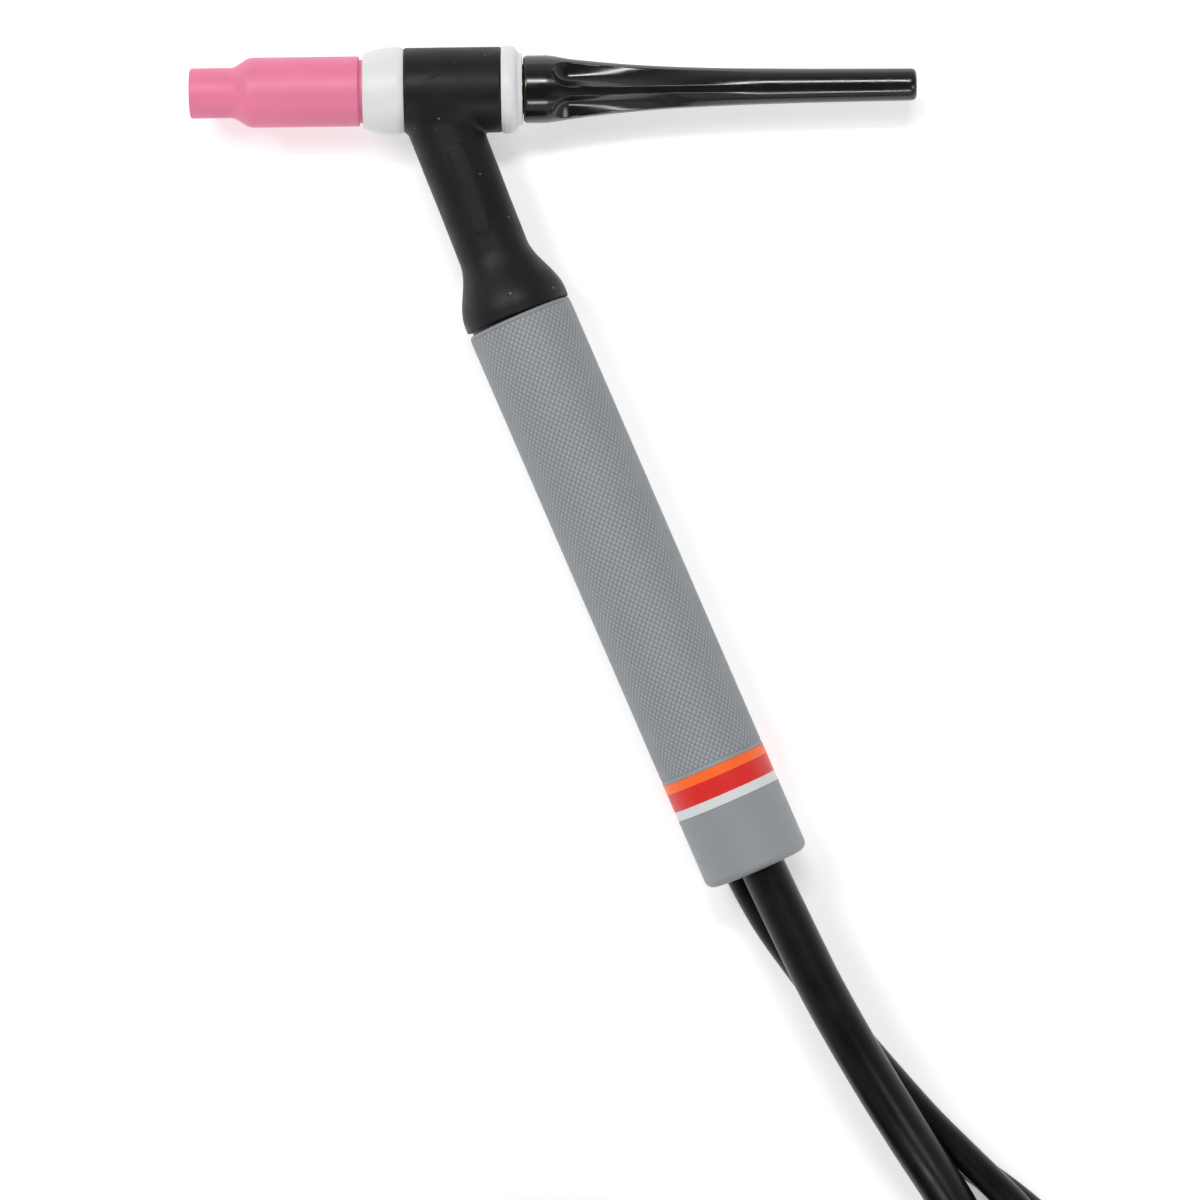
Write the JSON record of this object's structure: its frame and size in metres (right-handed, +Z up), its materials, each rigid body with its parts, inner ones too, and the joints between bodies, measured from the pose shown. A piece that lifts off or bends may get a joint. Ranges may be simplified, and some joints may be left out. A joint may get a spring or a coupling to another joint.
{
  "type": "tig welding torch",
  "caption": "Water-cooled TIG torch with a pink nozzle, an angled rubber head, a long fluted back cap, a textured handle and coiled hoses.",
  "frame": {"origin": "on the surface the torch lies on, under the centre of the torch's box, hoses left out", "axes": "+X along the head from the nozzle to the back cap, +Y from the hose end of the handle towards the head, +Z up from the surface"},
  "size_m": [0.237, 0.608, 0.0795],
  "materials": {
    "ceramic": "matt pink alumina",
    "white_insulator": "smooth white",
    "rubber": "moulded, satin",
    "handle_plastic": "fine raised dot texture",
    "band_vinyl": "bands of orange, red and white",
    "cap_plastic": "polished black",
    "copper": "drawn copper",
    "tungsten": "ground",
    "brass": "turned",
    "ferrule_steel": "crimped",
    "seal_rubber": "smooth",
    "power_hose": "satin",
    "gas_hose": "satin",
    "water_hose": "satin",
    "tie_strap": "woven loop tape"
  },
  "bodies": {
    "torch": {"rear_gasket": "white_insulator", "head_cover": "rubber", "handle": "handle_plastic", "handle_band": "band_vinyl", "collet_body": "copper", "power_tube": "copper", "gas_tube": "copper", "water_tube": "copper", "head_core": "brass", "power_fitting": "brass", "gas_fitting": "brass", "water_fitting": "brass", "power_union_nut": "brass", "gas_union_nut": "brass", "water_union_nut": "brass", "power_end_nipple": "brass", "gas_end_nipple": "brass", "water_end_nipple": "brass", "power_ferrule": "ferrule_steel", "gas_ferrule": "ferrule_steel", "water_ferrule": "ferrule_steel", "power_end_ferrule": "ferrule_steel", "gas_end_ferrule": "ferrule_steel", "water_end_ferrule": "ferrule_steel", "power_hose_lead": "power_hose", "power_hose_coil": "power_hose", "power_hose_tail": "power_hose", "gas_hose_lead": "gas_hose", "gas_hose_coil": "gas_hose", "gas_hose_tail": "gas_hose", "water_hose_lead": "water_hose", "water_hose_coil": "water_hose", "water_hose_tail": "water_hose", "power_coil_ties": "tie_strap", "gas_water_coil_ties": "tie_strap"},
    "heat_shield": {"heat_shield": "white_insulator"},
    "nozzle": {"nozzle": "ceramic"},
    "cap_seal": {"cap_o_ring": "seal_rubber"},
    "back_cap": {"back_cap": "cap_plastic", "cap_insert": "brass"},
    "collet": {"collet": "copper"},
    "electrode": {"electrode": "tungsten"},
    "power_nut": {"power_end_nut": "brass"},
    "gas_nut": {"gas_end_nut": "brass"},
    "water_nut": {"water_end_nut": "brass"}
  },
  "joints": [
    {"name": "cap_slide", "type": "slide", "parent": "torch", "child": "cap_seal", "axis": [1, 0, 0], "range_m": [0, 0.006]},
    {"name": "cap_turn", "type": "hinge", "parent": "cap_seal", "child": "back_cap", "pos_m": [-0.0324, 0.0995, 0.01425], "axis": [1, 0, 0], "range_deg": [0, 2165]},
    {"name": "collet_release", "type": "slide", "parent": "torch", "child": "collet", "axis": [1, 0, 0], "range_m": [0, 0.0031]},
    {"name": "electrode_slide", "type": "slide", "parent": "collet", "child": "electrode", "axis": [-1, 0, 0], "range_m": [-0.002, 0.016]},
    {"name": "nozzle_slide", "type": "slide", "parent": "torch", "child": "heat_shield", "axis": [-1, 0, 0], "range_m": [0, 0.006]},
    {"name": "nozzle_turn", "type": "hinge", "parent": "heat_shield", "child": "nozzle", "pos_m": [-0.0324, 0.0995, 0.01425], "axis": [-1, 0, 0], "range_deg": [0, 1445]},
    {"name": "power_nut_spin", "type": "hinge", "parent": "torch", "child": "power_nut", "pos_m": [0.046, -0.236, 0.0522], "axis": [0.9063, -0.4226, 0], "continuous": true},
    {"name": "gas_nut_spin", "type": "hinge", "parent": "torch", "child": "gas_nut", "pos_m": [-0.005, -0.463, 0.0112], "axis": [-0.9272, 0.3746, 0], "continuous": true},
    {"name": "water_nut_spin", "type": "hinge", "parent": "torch", "child": "water_nut", "pos_m": [0.108, -0.406, 0.0685], "axis": [0.7071, -0.7071, 0], "continuous": true}
  ],
  "couplings": [
    {"joint": "cap_turn", "follows": "cap_slide", "rad_per_m": 6283.2},
    {"joint": "collet_release", "follows": "cap_slide", "ratio": 0.5},
    {"joint": "nozzle_turn", "follows": "nozzle_slide", "rad_per_m": 4188.8}
  ]
}
